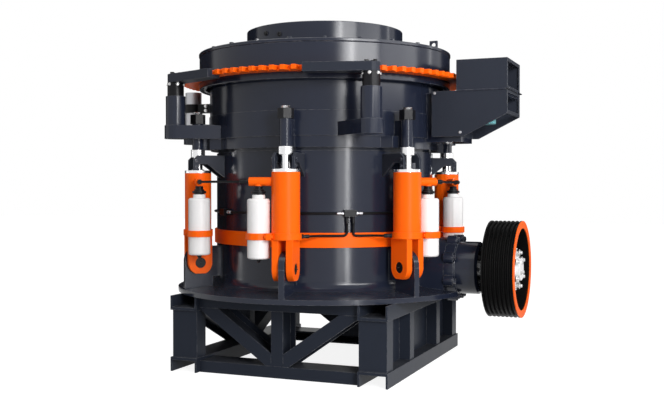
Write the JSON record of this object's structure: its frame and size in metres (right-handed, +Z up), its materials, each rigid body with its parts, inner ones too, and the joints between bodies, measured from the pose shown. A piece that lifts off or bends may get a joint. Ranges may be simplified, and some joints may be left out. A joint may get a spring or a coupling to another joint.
{
  "type": "cone crusher",
  "caption": "Hydraulic cone crusher on a welded stand, with release cylinders, accumulators, a toothed drive ring, a feed hopper and a grooved sheave.",
  "frame": {"origin": "crusher axis at floor level, the centre of the foundation bolt rectangle", "axes": "+Z up along the crusher axis, +X along the countershaft towards the sheave, -Y the front"},
  "size_m": [3.04, 2.4696, 2.74],
  "materials": {
    "slate_paint": "gloss paint",
    "stand_paint": "satin paint",
    "orange_paint": "gloss paint",
    "white_paint": "gloss paint",
    "bright_steel": "polished",
    "black_steel": "satin",
    "rubber": "satin",
    "wear_steel": "cast",
    "motor_paint": "satin paint"
  },
  "bodies": {
    "fixed_frame": {"stand_skids": "stand_paint", "stand_top_rails": "stand_paint", "stand_foot_beams": "stand_paint", "stand_head_beams": "stand_paint", "stand_corner_posts": "stand_paint", "stand_centre_posts": "stand_paint", "stand_left_braces": "stand_paint", "stand_right_braces": "stand_paint", "stand_side_post": "stand_paint", "stand_side_braces": "stand_paint", "stand_side_wall": "stand_paint", "main_frame": "slate_paint", "main_frame_hub": "slate_paint", "frame_band": "orange_paint", "mantle": "wear_steel", "crusher_head": "wear_steel", "eccentric": "black_steel", "feed_plate": "wear_steel", "countershaft_housing": "slate_paint", "release_cylinders": "orange_paint", "cylinder_glands": "bright_steel", "gland_gussets": "slate_paint", "cylinder_pins": "black_steel", "frame_lugs": "slate_paint", "ring_line": "rubber", "line_blocks": "black_steel", "tee_hoses": "rubber", "drop_hoses": "rubber", "accumulators": "white_paint", "accumulator_valves": "black_steel", "accumulator_tees": "orange_paint", "accumulator_brackets": "orange_paint"},
    "sheave_shaft": {"countershaft": "bright_steel", "sheave": "black_steel", "sheave_face_ring": "orange_paint", "sheave_bushing": "bright_steel"},
    "lifting_ring": {"adjustment_ring": "slate_paint", "release_rods": "bright_steel", "rod_nuts": "black_steel", "guide_posts": "slate_paint", "guide_collars": "black_steel", "guide_plates": "slate_paint", "steady_post": "bright_steel", "steady_clamp": "black_steel", "drive_housing": "slate_paint", "drive_cover": "slate_paint", "drive_motor": "motor_paint"},
    "turning_ring": {"drive_ring": "orange_paint"},
    "bowl_assembly": {"adjustment_cap": "slate_paint", "cap_cover": "slate_paint", "feed_hopper": "slate_paint", "lifting_lugs": "slate_paint", "bowl_liner": "wear_steel", "bowl": "slate_paint"}
  },
  "joints": [
    {"name": "countershaft_spin", "type": "hinge", "parent": "fixed_frame", "child": "sheave_shaft", "pos_m": [1.55, 0, 0.8055], "axis": [1, 0, 0], "continuous": true},
    {"name": "ring_lift", "type": "slide", "parent": "fixed_frame", "child": "lifting_ring", "axis": [0, 0, 1], "range_m": [0, 0.08]},
    {"name": "ring_turn", "type": "hinge", "parent": "lifting_ring", "child": "turning_ring", "pos_m": [0, 0, 2.317], "axis": [0, 0, 1], "range_deg": [-720, 720]},
    {"name": "bowl_screw", "type": "slide", "parent": "turning_ring", "child": "bowl_assembly", "axis": [0, 0, 1], "range_m": [-0.04, 0.04]}
  ],
  "couplings": [
    {"joint": "bowl_screw", "follows": "ring_turn", "m_per_rad": 0.00318}
  ]
}
